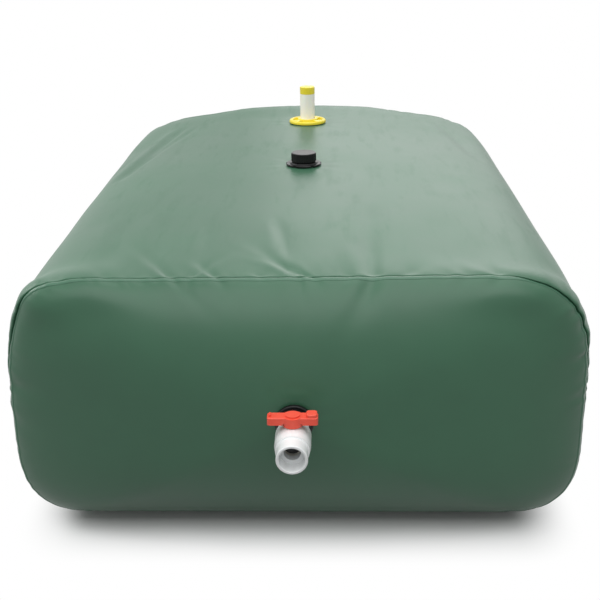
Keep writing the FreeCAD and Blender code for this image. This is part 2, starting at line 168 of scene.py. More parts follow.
# Small puckers between them and at the vent end: first and last run, spacing, depth, width and reach
OUTLET_SCATTER = ((-0.39, 0.36, 0.022, 0.0019, 0.0065, 0.026), (0.46, 0.66, 0.011, 0.0042, 0.0060, 0.045),
                  (-0.66, -0.52, 0.014, 0.0030, 0.0060, 0.035))
VENT_SCATTER = ((-0.43, 0.43, 0.070, 0.0024, 0.012, 0.080), (-0.43, 0.43, 0.024, 0.0008, 0.007, 0.026))
SCATTER_PANEL_SHARE = 0.5
OUTLET_PUCKER_SEED = 11
VENT_PUCKER_SEED = 29

# Dense crinkles where either seam turns its corners, fewer down the sides and underneath
SIDE_SCATTER = ((0.40, 0.64, 0.013, 0.0020, 0.0055, 0.030), (0.44, 0.62, 0.045, 0.0034, 0.012, 0.080),
                (0.64, 0.78, 0.024, 0.0016, 0.008, 0.050), (0.78, 0.98, 0.017, 0.0019, 0.0065, 0.034))

# Broad waves of the skin, calmer near the seams and lower on the end panels
WAVE_HEIGHT = 0.0070
WAVE_LENGTHS = (0.16, 0.46)
WAVE_COUNT = 16
WRAP_WAVE_SEED = 5
PANEL_WAVE_SEED = 7
SEAM_WAVES = 0.25
WRAP_WAVE_RISE = (0.0, 0.12)
PANEL_WAVES = 0.7
PANEL_WAVE_RISE = (0.0, 0.10)

# Soft valleys on the top and shoulders: start (x, y), end (x, y), depth and width
FOLDS = (
    ((0.124, -0.66), (0.140, -0.36), 0.0026, 0.017),
    ((-0.430, 0.02), (-0.360, 0.52), 0.0060, 0.016),
    ((-0.400, 0.16), (-0.320, 0.52), 0.0022, 0.010),
    ((-0.325, -0.66), (-0.345, -0.44), 0.0026, 0.022),
    ((-0.245, -0.66), (-0.262, -0.42), 0.0024, 0.020),
    ((-0.160, -0.68), (-0.168, -0.46), 0.0014, 0.016),
    ((-0.010, -0.66), (-0.040, -0.44), 0.0016, 0.014),
    ((0.240, -0.68), (0.270, -0.42), 0.0010, 0.030),
    ((0.430, 0.22), (0.372, 0.60), 0.0024, 0.020),
    ((0.300, -0.20), (0.340, 0.16), 0.0012, 0.040),
)
FOLD_RISE = (-0.05, 0.06)
FOLD_END_FADE = 0.06
FOLD_BANK_SHARE = 0.5
FOLD_BANK_PLACE = 1.3
FOLD_BANK_WIDTH = 1.2

# Towards the vent end the top is a low arch, fuller in the middle and lower at the shoulders
FAR_CROWN = 0.009
FAR_CROWN_WIDTH = 0.20
FAR_CROWN_RISE = (0.57, 0.72)
FAR_SHOULDER_DROP = 0.013
FAR_SHOULDER_RISE = (-0.30, 0.50)
SHOULDER_RISE = (0.14, 0.33)
SHOULDER_FALL = (0.40, 0.49)
TOP_RISE = (0.30, 0.42)
ARCH_REACH = 0.08

# Flat lands where the fittings clamp the skin: margin round the gasket, ripples round it and their seed.
# Those on top press only the skin that is higher than LAND_ABOVE, and not the bottom below them.
FILLER_PRESS = (0.010, 9, 3)
VENT_PRESS = (0.003, 11, 4)
OUTLET_PRESS = (0.002, 10, 6)
LAND_BLEND = 0.028
LAND_ABOVE = 0.35
RIPPLE_HEIGHT = 0.0009
RIPPLE_REACH = 0.022
RIPPLE_SETS = 4
RIPPLE_STEP = 3
RIPPLE_FALL = 1.5

# Holes in the skin round the fittings' barrels, cut only beyond a distance from the bag's middle
FILLER_HOLE_GAP = 0.0008
VENT_HOLE_GAP = 0.0034
OUTLET_HOLE_RADIUS = 0.0214
HOLE_BEYOND = 0.3

# Camera, fitted to the photograph's outline of the bag
CAMERA_PLACE = (0.058, -2.3539, 1.0583)
CAMERA_TILT_DEG = 21.058
CAMERA_YAW_DEG = -1.724
CAMERA_ROLL_DEG = 0.836
FOCAL_PX = 1040.9
PHOTO_SIZE_PX = 600.0
SENSOR_MM = 36.0

# Studio: the floor's shade fades to plain white between two distances from the bag's foot
FLOOR_SIZE = 14.0
FLOOR_ROUGHNESS = 0.9
FLOOR_SHADE_FROM = 0.0
FLOOR_SHADE_TO = 0.13
FLOOR_SEEN = [0.94, 0.94, 0.94, 1.0]
FLOOR_BOUNCE = [0.12, 0.12, 0.12, 1.0]
WORLD_FILL = 0.46
WORLD_SEEN = 1.0

# Lamps: place, point that it faces, width and depth, watts
LAMPS = {
    "overhead_softbox": ((0.3, 0.3, 2.9), (0, 0.1, 0.4), (2.6, 2.2), 29),
    "front_softbox": ((0.0, -2.05, 2.7), (0, -0.7, 0.4), (3.0, 2.2), 45),
    "rear_softbox": ((0.9, 3.3, 1.7), (0, 0.3, 0.45), (2.4, 1.2), 14),
    "left_softbox": ((-2.5, 0.3, 1.9), (-0.4, 0.1, 0.45), (2.4, 1.2), 32),
}

SKIN_BODY = "tank"
BAG_MIDDLE = np.array([0.0, 0.0, CROWN_Z / 2])


def smoothstep(value, low, high):
    share = np.clip((value - low) / (high - low), 0.0, 1.0)
    return share * share * (3 - 2 * share)


def between(limits, share):
    low, high = limits
    return low + (high - low) * share


# Section of the bag

def section_size(along):
    """Half width, top and lifted bottom of the bag at each place along it."""
    share = np.abs(along) / SEAM_Y
    half = BAG_HALF_WIDTH - END_DRAW * share ** END_POWER
    top = CROWN_Z - (CROWN_Z - SEAM_Z) * share ** CROWN_POWER
    return half, top, END_LIFT * share ** END_POWER


def lower_corner(turn, half):
    x = half - FOOT_INSET * (1 - np.sin(turn) ** (2 / FOOT_POWER))
    z = WIDEST_Z * (1 - np.cos(turn) ** (2 / FOOT_POWER))
    return np.broadcast_arrays(x, z)


def upper_corner(turn, half, top):
    x = half * np.cos(turn) ** (2 / SHOULDER_POWER)
    z = WIDEST_Z + (top - WIDEST_Z) * np.sin(turn) ** (2 / SHOULDER_POWER)
    return np.broadcast_arrays(x, z)


def even_turns(turn, corner):
    """Turns that lie at equal steps along a corner curve, from a fine sampling of it."""
    x, z = corner
    run = np.concatenate([[0], np.cumsum(np.hypot(np.diff(x), np.diff(z)))])
    steps = int(math.ceil(run[-1] / COLUMN_SPACING))
    return np.interp(np.linspace(0, run[-1], steps + 1), run, turn)


# The last turn stops just short of a quarter, so that no cosine there is below nought
QUARTER = np.linspace(0, np.pi / 2, CURVE_SAMPLES)
QUARTER[-1] = np.pi / 2 - 1e-9
LOWER_TURNS = even_turns(QUARTER, lower_corner(QUARTER, BAG_HALF_WIDTH))[:-1]
UPPER_TURNS = even_turns(QUARTER, upper_corner(QUARTER, BAG_HALF_WIDTH, CROWN_Z))


def section_loop(along):
    """Closed sections, one a row, from the middle of the floor round the +X side and back."""
    half, top, bottom = (v[:, None] for v in section_size(np.asarray(along, float)))
    foot = np.arange(BOTTOM_COLUMNS)[None, :] / BOTTOM_COLUMNS
    flat_x = foot * (half - FOOT_INSET)
    low_x, low_z = lower_corner(LOWER_TURNS[None, :], half)
    high_x, high_z = upper_corner(UPPER_TURNS[None, :], half, top)
    x = np.concatenate([flat_x, low_x, high_x], 1)
    z = np.concatenate([np.zeros_like(flat_x), low_z, high_z], 1)
    z = bottom + z * (top - bottom) / top
    x = np.concatenate([x, -x[:, -2:0:-1]], 1)
    z = np.concatenate([z, z[:, -2:0:-1]], 1)
    return x, z


def seam_run():
    """Distance along the seam of each column, nought at the crown, positive towards +X."""
    x, z = section_loop([SEAM_Y])
    x, z = x[0], z[0]
    step = np.hypot(np.diff(np.append(x, x[0])), np.diff(np.append(z, z[0])))
    run = np.concatenate([[0], np.cumsum(step)])
    crown = run[len(x) // 2]
    return crown - run[:-1], run[-1]


SEAM_RUN, SEAM_LENGTH = seam_run()


def row_distances(length):
    """Distances from a seam, close together at first and even farther in."""
    out = [0.0]
    step = FIRST_ROW
    while out[-1] + step < length:
        out.append(out[-1] + step)
        step = min(step * ROW_GROWTH, ROW_SPACING)
    return np.array(out)


# Puckers and folds

class Puckers:
    """Valleys and ridges square to one seam; distances from it are positive on the wrap."""

    def __init__(self, seed):
        self.rng = np.random.default_rng(seed)
        self.items = []

    def add(self, run, depth, width, reach, lean, skew, panel_share):
        self.items.append((run, depth, width, reach, lean, skew, panel_share))

    def scatter(self, start, stop, spacing, depth, width, reach):
        run = start
        while run < stop:
            draw = self.rng.random(6)
            sense = 1 if draw[1] < VALLEY_SHARE else -RIDGE_HEIGHT
            self.add(run, depth * between(DEPTH_SHARES, draw[0]) * sense,
                     width * between(WIDTH_SHARES, draw[2]), reach * between(REACH_SHARES, draw[3] ** 2),
                     between(LEAN_RANGE, draw[4]), between(SKEW_RANGE, draw[5]), SCATTER_PANEL_SHARE)
            run += spacing * between(SPACING_SHARES, draw[5])

    def height(self, run, off):
        """Height of the skin at a run along the seam and a distance from it."""
        run, off = np.broadcast_arrays(run, off)
        out = np.zeros(run.shape)
        wrap_side = off >= 0
        away = np.abs(off)
        stiff = SEAM_SHARE + (1 - SEAM_SHARE) * smoothstep(away, 0.0, STIFF_REACH)
        for at, depth, width, reach, lean, skew, panel_share in self.items:
            length = np.where(wrap_side, reach, reach * panel_share)
            across = run - (at + lean * away * np.where(wrap_side, 1.0, PANEL_LEAN))
            across = (across + SEAM_LENGTH / 2) % SEAM_LENGTH - SEAM_LENGTH / 2
            q = across / (width * (1 + PUCKER_SPREAD * away / (length + PUCKER_SPREAD_START)))
            near = np.abs(q) < PUCKER_EDGE
            q = q[near]
            shape = np.exp(-q ** 2) * (1 + skew * q) - BANK_SHARE * np.exp(-(q / BANK_WIDTH) ** 2)
            fade = np.exp(-(away[near] / length[near]) ** PUCKER_FADE_POWER) * stiff[near]
            out[near] -= depth * shape * fade
        return out


def scatter_sides(puckers):
    """Crinkles down both sides of a seam; they differ between the sides by their random draws."""
    for side in (-1, 1):
        for start, stop, spacing, depth, width, reach in SIDE_SCATTER:
            low, high = sorted((side * start, side * stop))
            puckers.scatter(low, high, spacing, depth, width, reach)


def outlet_puckers():
    puckers = Puckers(OUTLET_PUCKER_SEED)
    for shown in SHOWN_PUCKERS:
        puckers.add(*shown, SHOWN_PANEL_SHARE)
    for small in OUTLET_SCATTER:
        puckers.scatter(*small)
    scatter_sides(puckers)
    return puckers


def vent_puckers():
    puckers = Puckers(VENT_PUCKER_SEED)
    for small in VENT_SCATTER:
        puckers.scatter(*small)
    scatter_sides(puckers)
    return puckers


PUCKERS = {-1: outlet_puckers(), 1: vent_puckers()}


def broad_waves(x, y, z, seed):
    """Slow unevenness of a filled skin, from a sum of seeded waves."""
    rng = np.random.default_rng(seed)
    out = np.zeros(np.broadcast(x, y, z).shape)
    for _ in range(WAVE_COUNT):
        wave = rng.normal(size=3)
        wave /= np.linalg.norm(wave)
        length = between(WAVE_LENGTHS, rng.random())
        phase = 2 * np.pi * rng.random()
        out += np.sin(2 * np.pi / length * (wave[0] * x + wave[1] * y + wave[2] * z) + phase) * length
    return out / WAVE_COUNT


def fold_height(x, y):
    """Valleys that don't start at a seam, each with a low bank on one side."""
    out = np.zeros(np.broadcast(x, y).shape)
    for (x0, y0), (x1, y1), depth, width in FOLDS:
        length = math.hypot(x1 - x0, y1 - y0)
        ux, uy = (x1 - x0) / length, (y1 - y0) / length
        along = (x - x0) * ux + (y - y0) * uy
        across = (x - x0) * -uy + (y - y0) * ux
        ends = smoothstep(along, *FOLD_RISE)
        ends = ends * (1 - smoothstep(along, length - FOLD_END_FADE, length + FOLD_END_FADE))
        q = across / width
        bank = FOLD_BANK_SHARE * np.exp(-((q - FOLD_BANK_PLACE) / FOLD_BANK_WIDTH) ** 2)
        out -= depth * ends * (np.exp(-q ** 2) - bank)
    return out


# Flat lands where the fittings clamp the skin

def land(node, axis, side):
    """Middle, radius and level of the flat skin under a gasket, read from the frame."""
    low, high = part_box(node)
    across = [i for i in range(3) if i != axis]
    radius = (high[across[0]] - low[across[0]]) / 2
    level = low[axis] if side > 0 else high[axis]
    return (low + high) / 2, radius, level


def half_width(node):
    low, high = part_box(node)
    return (high[0] - low[0]) / 2


FILLER_LAND = land("filler_gasket", 2, 1)
VENT_LAND = land("vent_gasket", 2, 1)
OUTLET_LAND = land("outlet_gasket", 1, -1)


def press_land(height, a, b, the_land, margin, ripples, seed):
    """Blend a height field to the land's level, with faint wrinkles that run out from it."""
    middle, radius, level = the_land
    rng = np.random.default_rng(seed)
    reach = np.hypot(a, b)
    turn = np.arctan2(b, a)
    edge = radius + margin
    share = smoothstep(reach, edge, edge + LAND_BLEND)
    wrinkle = np.zeros_like(reach)
    for k in range(RIPPLE_SETS):
        lobes = ripples + RIPPLE_STEP * k
        wrinkle += np.cos(lobes * turn + 2 * np.pi * rng.random()) / (k + RIPPLE_FALL)
    wrinkle *= RIPPLE_HEIGHT * np.exp(-np.maximum(reach - edge, 0) / RIPPLE_REACH) * share
    return level * (1 - share) + height * share + wrinkle


# Surfaces of the wrap and of the end panels

def on_top(z):
    """Share of a form that belongs to the top, nought down the sides."""
    return smoothstep(z, *TOP_RISE)


def far_arch(x, y, z):
    """Height of the arch that the top takes towards the vent end."""
    shoulders = smoothstep(np.abs(x), *SHOULDER_RISE) * (1 - smoothstep(np.abs(x), *SHOULDER_FALL))
    arch = FAR_CROWN * np.exp(-(x / FAR_CROWN_WIDTH) ** 2) * smoothstep(y, *FAR_CROWN_RISE)
    arch = arch - FAR_SHOULDER_DROP * shoulders * smoothstep(y, *FAR_SHOULDER_RISE)
    return arch * on_top(z)


def unit(n):
    return n / np.maximum(np.linalg.norm(n, axis=2, keepdims=True), 1e-12)


def outward(p, n):
    """Turn normals so that they point away from the middle of the bag."""
    return n * np.where((n * (p - BAG_MIDDLE)).sum(2, keepdims=True) < 0, -1.0, 1.0)


def grid_normals(p):
    """Outward normals of a grid of points whose columns go round the bag."""
    along = np.gradient(p, axis=0)
    around = np.roll(p, -1, 1) - np.roll(p, 1, 1)
    return outward(p, unit(np.cross(along, around)))


def corner_share(run, side):
    """Share of the deep crease at each run along one seam."""
    left, right = CREASE_STARTS[side]
    start = np.where(run < 0, -left, right)
    away = np.abs(run)
    ends = 1 - smoothstep(away, CORNER_END - CORNER_END_FADE, CORNER_END)
    return CREASE_SHARES[side] * smoothstep(away, start, start + CORNER_FADE) * ends


def groove(off):
    """The weld line lies a little lower than the skin on both sides of it."""
    return GROOVE_DEPTH * np.exp(-(off / GROOVE_REACH) ** 2)


def seam_pinch(run, off, side):
    """The seam draws the skin in, and turns its upper corners squarely in a deep crease."""
    away = np.abs(off)
    out = -PINCH_DEPTH * np.exp(-(away / PINCH_REACH) ** PINCH_POWER)
    out = out - CREASE_DEPTH * corner_share(run, side) * np.exp(-away / CREASE_REACH)
    reach = np.where(off >= 0, CORNER_WRAP_REACH, CORNER_PANEL_REACH)
    for at, height, width in SQUARE_CORNERS[side]:
        out = out + height * np.exp(-((run - at) / width) ** 2 - (away / reach) ** 2)
    return out


def seam_lip(run, off, side):
    """How far the wrap rolls out past the seam beside it."""
    share = off / LIP_REACH
    return (LIP + CORNER_LIP * corner_share(run, side)) * share * np.exp(1 - share)


def seam_direction(side):
    """Direction, one a column, in which the seam moves with both skins that it joins."""
    x, z = section_loop([SEAM_Y])
    across = np.zeros_like(x)
    around_x = np.roll(x, -1, 1) - np.roll(x, 1, 1)
    around_z = np.roll(z, -1, 1) - np.roll(z, 1, 1)
    n = outward(np.stack([x, across, z], 2), unit(np.stack([around_z, across, -around_x], 2)))
    return unit(n + np.array([0.0, side * SEAM_TILT, 0.0]))


def near_seam(own, side, off):
    """Normals that turn into the seam's shared direction towards the seam."""
    share = smoothstep(np.abs(off), 0.0, SHARED_REACH)[..., None]
    return unit(own * share + seam_direction(side) * (1 - share))


def wrap_points():
    """Rows of the wrap from the outlet seam to the vent seam."""
    near = row_distances(SEAM_Y)
    ys = np.concatenate([-SEAM_Y + near, (SEAM_Y - near)[::-1]])
    x, z = section_loop(ys)
    y = np.repeat(ys[:, None], x.shape[1], 1)
    p = np.stack([x, y, z - FLOOR_PRESS], 2)
    n = grid_normals(p)
    run = SEAM_RUN[None, :]
    offs = {-1: y + SEAM_Y, 1: SEAM_Y - y}
    lift = fold_height(x, y) * on_top(z) + far_arch(x, y, z)
    for side, off in offs.items():
        n = near_seam(n, side, off)
        lift += PUCKERS[side].height(run, off) + seam_pinch(run, off, side) - groove(off)
    calm = smoothstep(np.minimum(offs[-1], offs[1]), *WRAP_WAVE_RISE)
    lift += WAVE_HEIGHT * broad_waves(x, y, z, WRAP_WAVE_SEED) * between((SEAM_WAVES, 1), calm)
    clear = smoothstep(p[:, :, 2], *WRAP_FLOOR_RISE)
    p = p + n * (lift * clear)[:, :, None]
    for side, off in offs.items():
        p[:, :, 1] += side * seam_lip(run, off, side) * clear
    for the_land, press in ((FILLER_LAND, FILLER_PRESS), (VENT_LAND, VENT_PRESS)):
        middle = the_land[0]
        z = p[:, :, 2]
        pressed = press_land(z, p[:, :, 0] - middle[0], p[:, :, 1] - middle[1], the_land, *press)
        p[:, :, 2] = np.where(z > LAND_ABOVE, pressed, z)
    p[:, :, 2] = np.maximum(p[:, :, 2], FLOOR_SKIN)
    return p


def panel_points(side, scales):
    """Rings of an end panel, each the seam's outline at one of the scales."""
    x, z = section_loop([SEAM_Y])
    top, bottom = (size[0] for size in section_size(np.array([SEAM_Y]))[1:])
    middle = (top + bottom) / 2
    s = scales[:, None]
    px = x * s
    pz = middle + (z - middle) * s - FLOOR_PRESS
    bulge = PANEL_BULGE * np.maximum(1 - s ** 2, 0) ** PANEL_BULGE_POWER
    py = side * (SEAM_Y + bulge) + np.zeros_like(px)
    p = np.stack([px, py, pz], 2)
    off = -np.maximum((1 - s) * np.hypot(x, z - middle), bulge * BULGE_SHARE)
    run = SEAM_RUN[None, :]
    lift = PUCKERS[side].height(run, np.minimum(off, -PANEL_SIDE))
    lift += seam_pinch(run, off, side) - groove(off)
    lift += far_arch(x, side * SEAM_Y, z) * np.exp(-(off / ARCH_REACH) ** 2)
    waves = broad_waves(px, py, pz, PANEL_WAVE_SEED) * smoothstep(-off, *PANEL_WAVE_RISE)
    lift += WAVE_HEIGHT * PANEL_WAVES * waves
    lift *= smoothstep(pz, *PANEL_FLOOR_RISE)
    p = p + near_seam(grid_normals(p), side, off) * lift[:, :, None]
    if side < 0:
        centre = OUTLET_LAND[0]
        p[:, :, 1] = press_land(p[:, :, 1], p[:, :, 0] - centre[0], p[:, :, 2] - centre[2], OUTLET_LAND,
                                *OUTLET_PRESS)
    p[:, :, 2] = np.maximum(p[:, :, 2], FLOOR_SKIN)
    return p


def panel_scales():
    """Ring scales of an end panel, close together at its seam."""
    k = np.arange(PANEL_ROWS + 1) / PANEL_ROWS
    return 1 - k ** PANEL_ROW_POWER * (1 - PANEL_TIP_SCALE)


def lap_points(side):
    """Welded strip that laps over the panel's edge, its long edges turned down into the skin."""
    reach, stand = np.array(LAP_PROFILE).T * np.array([[LAP_WIDTH], [LAP_THICKNESS]])
    skin = panel_points(side, 1 - np.linspace(0, 1, LAP_SAMPLES) ** 2 * LAP_SAMPLED_SHARE)
    step = np.linalg.norm(np.diff(skin, axis=0), axis=2)
    run = np.concatenate([np.zeros((1, step.shape[1])), np.cumsum(step, 0)])
    n = grid_normals(skin)
    out = np.zeros((len(reach), skin.shape[1], 3))
    for column in range(skin.shape[1]):
        for axis in range(3):
            here = np.interp(reach, run[:, column], skin[:, column, axis])
            normal = np.interp(reach, run[:, column], n[:, column, axis])
            out[:, column, axis] = here + normal * stand
    out[0, :, 1] -= side * LAP_TUCK
    out[:, :, 2] = np.maximum(out[:, :, 2], FLOOR_SKIN * LAP_FLOOR_SHARE)
    return out


# Mesh building

def hole_round(centre, radius, axis, side):
    """Hole across an axis, in the skin on one side of the bag."""
    across = [i for i in range(3) if i != axis]
    middle = np.array(centre)[across]

    def inside(points):
        reach = np.linalg.norm(points[:, across] - middle, axis=1)
        return (reach < radius) & (side * points[:, axis] > HOLE_BEYOND)

    return inside


def grid_mesh(name, p, holes=(), cap=False, flip=False):
    """Mesh of a grid whose columns close on themselves, less the quads that touch a hole."""
    rows, columns = p.shape[:2]
    index = np.arange(rows * columns).reshape(rows, columns)
    a, b = index[:-1], index[1:]
    quads = np.stack([a, np.roll(a, -1, 1), np.roll(b, -1, 1), b], 2).reshape(-1, 4)
    points = p.reshape(-1, 3)
    for inside in holes:
        quads = quads[~inside(points)[quads].any(1)]
    faces = quads.tolist()
    if cap:
        rim = index[-1].tolist()
        tip = len(points)
        points = np.vstack([points, p[-1].mean(0)])
        faces += [[rim[k], rim[(k + 1) % columns], tip] for k in range(columns)]
    if flip:
        faces = [face[::-1] for face in faces]
    used = sorted({corner for face in faces for corner in face})
    place = {old: new for new, old in enumerate(used)}
    faces = [[place[corner] for corner in face] for face in faces]
    mesh = bpy.data.meshes.new(name)
    mesh.from_pydata(points[used].tolist(), [], faces)
    mesh.shade_smooth()
    mesh.update()
    obj = bpy.data.objects.new(name, mesh)
    bpy.context.scene.collection.objects.link(obj)
    return obj


def as_skin(obj, material):
    obj.data.materials.append(material)
    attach(obj, SKIN_BODY)
    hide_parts("tank_bladder")


def build_bag(green, lap_painted_highlight):
    """The wrap, and at each end a panel with its welded strip."""
    filler = hole_round(FILLER_LAND[0], half_width("filler_cap_seal") + FILLER_HOLE_GAP, 2, 1)
    vent = hole_round(VENT_LAND[0], half_width("vent_tube") + VENT_HOLE_GAP, 2, 1)
    outlet = hole_round(OUTLET_LAND[0], OUTLET_HOLE_RADIUS, 1, -1)
    as_skin(grid_mesh("bag_wrap", wrap_points(), holes=(filler, vent)), green)
    for side, name in ((-1, "outlet_end"), (1, "vent_end")):
        panel = panel_points(side, panel_scales())
        holes = (outlet,) if side < 0 else ()
        as_skin(grid_mesh(name + "_panel", panel, holes=holes, cap=side > 0, flip=side < 0), green)
        # The welded strips take the lighter green cloth, whose extra lightness is a painted highlight.
        as_skin(grid_mesh(name + "_lap_seam", lap_points(side), flip=side < 0), lap_painted_highlight)


# Shader nodes

def add(tree, kind, **settings):
    node = tree.nodes.new(kind)
    for key, value in settings.items():
        setattr(node, key, value)
    return node


def join(tree, value, socket):
    """Give a socket a constant, or link it to another socket."""
    if isinstance(value, bpy.types.NodeSocket):
        tree.links.new(value, socket)
    else:
        socket.default_value = value


def math_node(tree, operation, *values):
    node = add(tree, "ShaderNodeMath", operation=operation)
    for socket, value in zip(node.inputs, values):
        join(tree, value, socket)
    return node.outputs[0]


def noise(tree, place, scale, detail=2.0, rough=0.5):
    node = add(tree, "ShaderNodeTexNoise", noise_dimensions="3D")
    for label, value in (("Vector", place), ("Scale", scale), ("Detail", detail), ("Roughness", rough)):
        join(tree, value, node.inputs[label])
    return node.outputs["Fac"]


def object_place(tree):
    return add(tree, "ShaderNodeTexCoord").outputs["Object"]


# The colour sockets of a mix node, which share their names with its number and vector sockets
MIX_FIRST = 6
MIX_SECOND = 7
MIX_RESULT = 2


def mix_colour(tree, mask, first, second):
    node = add(tree, "ShaderNodeMix", data_type="RGBA")
    for key, value in (("Factor", mask), (MIX_FIRST, first), (MIX_SECOND, second)):
        join(tree, value, node.inputs[key])
    return node.outputs[MIX_RESULT]


def bump(tree, height, distance, strength):
    node = add(tree, "ShaderNodeBump")
    for label, value in (("Distance", distance), ("Strength", strength), ("Height", height)):
        join(tree, value, node.inputs[label])
    return node.outputs["Normal"]


# Shader effects shared by the materials

def effect(name, inputs, outputs, build):
    """Node group with a named socket for each input, with its value, and for each output."""
    group = bpy.data.node_groups.new(name, "ShaderNodeTree")
    for label, value in inputs.items():
        socket = group.interface.new_socket(name=label, in_out="INPUT", socket_type="NodeSocketFloat")
        socket.default_value = value
    for label in outputs:
        group.interface.new_socket(name=label, in_out="OUTPUT", socket_type="NodeSocketFloat")
    source = add(group, "NodeGroupInput")
    target = add(group, "NodeGroupOutput")
    build(group, source.outputs, target.inputs)
    return group


def place_group(tree, group, **values):
    node = add(tree, "ShaderNodeGroup", node_tree=group)
    for key, value in values.items():
        join(tree, value, node.inputs[key.replace("_", " ")])
    return node


# Cloudy tone: how much finer the small patches are, and the share of the broad ones
FINE_PATCHES = 6.3
BROAD_SHARE = 0.7


def build_mottle(tree, source, target):
    """Cloudy change of tone, from broad patches and finer ones."""
    place = object_place(tree)
    broad = noise(tree, place, source["Scale"])
    fine = noise(tree, place, math_node(tree, "MULTIPLY", source["Scale"], FINE_PATCHES), detail=3.0)
    broad = math_node(tree, "MULTIPLY", broad, BROAD_SHARE)
    mixed = math_node(tree, "MULTIPLY_ADD", fine, 1 - BROAD_SHARE, broad)
    centred = math_node(tree, "SUBTRACT", mixed, 0.5)
    limited = add(tree, "ShaderNodeClamp")
    join(tree, math_node(tree, "MULTIPLY_ADD", centred, source["Contrast"], 0.5), limited.inputs["Value"])
    join(tree, limited.outputs["Result"], target["Mask"])


# Base cloth: the coating's own grain per metre, and its share beside the threads
COATING_GRAIN = 900.0
COATING_SHARE = 0.35


def build_scrim(tree, source, target):
    """Threads of the base cloth that show faintly through the coating, crossing at right angles."""
    place = object_place(tree)
    split = add(tree, "ShaderNodeSeparateXYZ")
    join(tree, place, split.inputs[0])
    ribs = []
    for axis in ("X", "Y", "Z"):
        turns = math_node(tree, "MULTIPLY", split.outputs[axis], source["Threads per Metre"])
        wave = math_node(tree, "SINE", math_node(tree, "MULTIPLY", turns, 2 * math.pi))
        ribs.append(math_node(tree, "MULTIPLY_ADD", wave, 0.5, 0.5))
    woven = math_node(tree, "MAXIMUM", math_node(tree, "MAXIMUM", ribs[0], ribs[1]), ribs[2])
    fine = noise(tree, place, COATING_GRAIN)
    join(tree, math_node(tree, "MULTIPLY_ADD", fine, COATING_SHARE, woven), target["Height"])


# Moulded plastic: swirls of flow per metre, and their share in the height
FLOW_SWIRLS = 26.0
FLOW_SHARE = 0.3


def build_moulded(tree, source, target):
    """Fine spark grain of a moulded plastic, with a faint swirl of flow."""
    place = object_place(tree)
    grain = noise(tree, place, source["Grain per Metre"], detail=3.0, rough=0.6)
    flow = noise(tree, place, FLOW_SWIRLS)
    join(tree, math_node(tree, "MULTIPLY_ADD", flow, FLOW_SHARE, grain), target["Height"])
    join(tree, flow, target["Flow"])


# Handling marks: stretch of the scuffs, patches per metre, and the tones between which a scuff starts
SCUFF_STRETCH = (1.0, 0.18, 1.0)
RUBBED_PATCHES = 9.0
SCUFF_RISE = (0.52, 0.74)


def build_handling(tree, source, target):
    """Rubbed patches and thin scuffs that dull the gloss."""
    place = object_place(tree)
    stretch = add(tree, "ShaderNodeMapping")
    join(tree, SCUFF_STRETCH, stretch.inputs["Scale"])
    join(tree, place, stretch.inputs["Vector"])
    streak = noise(tree, stretch.outputs[0], source["Scuffs per Metre"], detail=4.0, rough=0.65)
    patch = noise(tree, place, RUBBED_PATCHES)
    sharp = add(tree, "ShaderNodeMapRange")
    for label, value in (("From Min", SCUFF_RISE[0]), ("From Max", SCUFF_RISE[1]), ("Value", streak)):
        join(tree, value, sharp.inputs[label])
    join(tree, math_node(tree, "MULTIPLY", sharp.outputs["Result"], patch), target["Mask"])


MOTTLE = effect("cloudy_tone", {"Scale": 3.0, "Contrast": 1.6}, ["Mask"], build_mottle)
SCRIM = effect("base_cloth", {"Threads per Metre": 700.0}, ["Height"], build_scrim)
MOULDED = effect("moulded_grain", {"Grain per Metre": 1500.0}, ["Height", "Flow"], build_moulded)
HANDLING = effect("rubbed_patches", {"Scuffs per Metre": 60.0}, ["Mask"], build_handling)


# Materials

def linear(red, green, blue):
    """Shader colour of a colour as a screen shows it, 0 to 255 a channel."""
    out = []
    for value in (red, green, blue):
        v = value / 255
        out.append(v / 12.92 if v <= 0.04045 else ((v + 0.055) / 1.055) ** 2.4)
    return out + [1.0]


def new_material(name, **constants):
    """Material with one Principled shader, and its constants by their sockets' names."""
    material = bpy.data.materials.new(name)
    material.use_nodes = True
    tree = material.node_tree
    tree.nodes.clear()
    shader = add(tree, "ShaderNodeBsdfPrincipled")
    output = add(tree, "ShaderNodeOutputMaterial")
    join(tree, shader.outputs[0], output.inputs["Surface"])
    for key, value in constants.items():
        join(tree, value, shader.inputs[key.replace("_", " ")])
    return material, tree, shader


# Height of the cloth's threads, strength of a plastic's grain, and how much rubbing dulls each of them
THREAD_HEIGHT = 0.00006
GRAIN_STRENGTH = 0.8
CLOTH_DULLING = 0.10
PLASTIC_DULLING = 0.22


def tarpaulin(name, dark, light, smooth, rough, cloth_strength):
    """PVC-coated cloth: satin gloss, a slow change of tone and the cloth faintly showing through."""
    material, tree, shader = new_material(name, Specular_IOR_Level=0.42)
    tone = place_group(tree, MOTTLE, Scale=2.4, Contrast=1.8).outputs["Mask"]
    rub = place_group(tree, HANDLING, Scuffs_per_Metre=38.0).outputs["Mask"]
    cloth = place_group(tree, SCRIM, Threads_per_Metre=640.0).outputs["Height"]
    gloss = math_node(tree, "MULTIPLY_ADD", tone, rough - smooth, smooth)
    join(tree, mix_colour(tree, tone, dark, light), shader.inputs["Base Color"])
    join(tree, math_node(tree, "MULTIPLY_ADD", rub, CLOTH_DULLING, gloss), shader.inputs["Roughness"])
    join(tree, bump(tree, cloth, THREAD_HEIGHT, cloth_strength), shader.inputs["Normal"])
    return material


